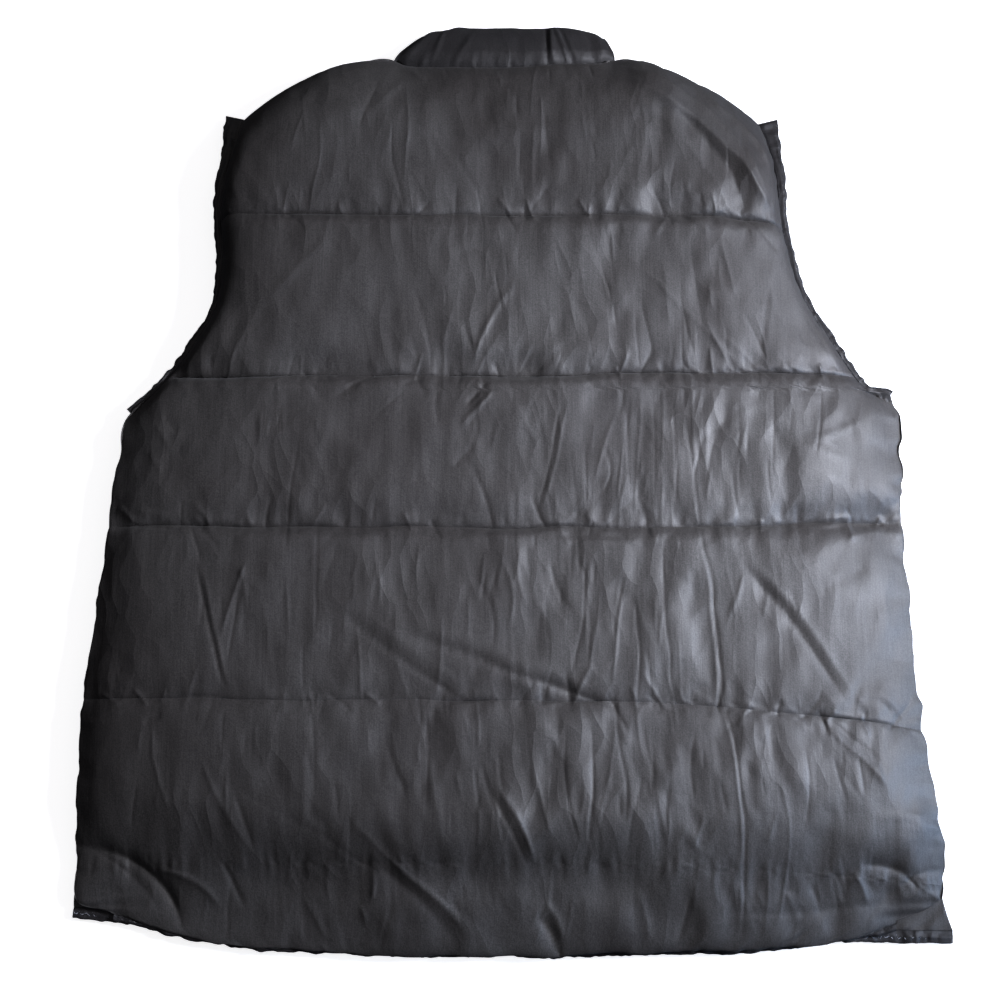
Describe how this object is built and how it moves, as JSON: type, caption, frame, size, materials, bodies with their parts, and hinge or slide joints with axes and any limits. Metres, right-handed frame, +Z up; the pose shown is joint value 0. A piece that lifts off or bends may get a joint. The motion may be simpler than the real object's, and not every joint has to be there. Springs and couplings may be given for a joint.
{
  "type": "puffer vest",
  "caption": "Sleeveless quilted padded vest with a stand collar and a closed front zip, lying flat on its front, back upwards.",
  "frame": {"origin": "on the surface that the vest lies on, under the middle of its outline", "axes": "+Y up the vest towards the collar, +X to the wearer's right, +Z up, out of the back"},
  "size_m": [0.6489, 0.7302, 0.0604],
  "materials": {
    "black_nylon": "satin black nylon shell over padding, finely creased",
    "black_binding": "gathered black nylon binding",
    "zip_tape": "woven black polyester tape",
    "zip_metal": "gunmetal-plated zinc"
  },
  "bodies": {
    "vest": {"back_panel": "black_nylon", "front_left": "black_nylon", "front_right": "black_nylon", "collar": "black_nylon", "armhole_binding_left": "black_binding", "armhole_binding_right": "black_binding", "hem_binding_back": "black_binding", "hem_binding_left": "black_binding", "hem_binding_right": "black_binding", "zip_tape_left": "zip_tape", "zip_tape_right": "zip_tape", "zip_chain": "zip_metal", "zip_slider": "zip_metal"},
    "pull": {"zip_pull": "zip_metal"}
  },
  "joints": [
    {"name": "pull_hinge", "type": "hinge", "parent": "vest", "child": "pull", "pos_m": [0, 0.282, 0.02115], "axis": [1, 0, 0], "range_deg": [0, 170]}
  ]
}
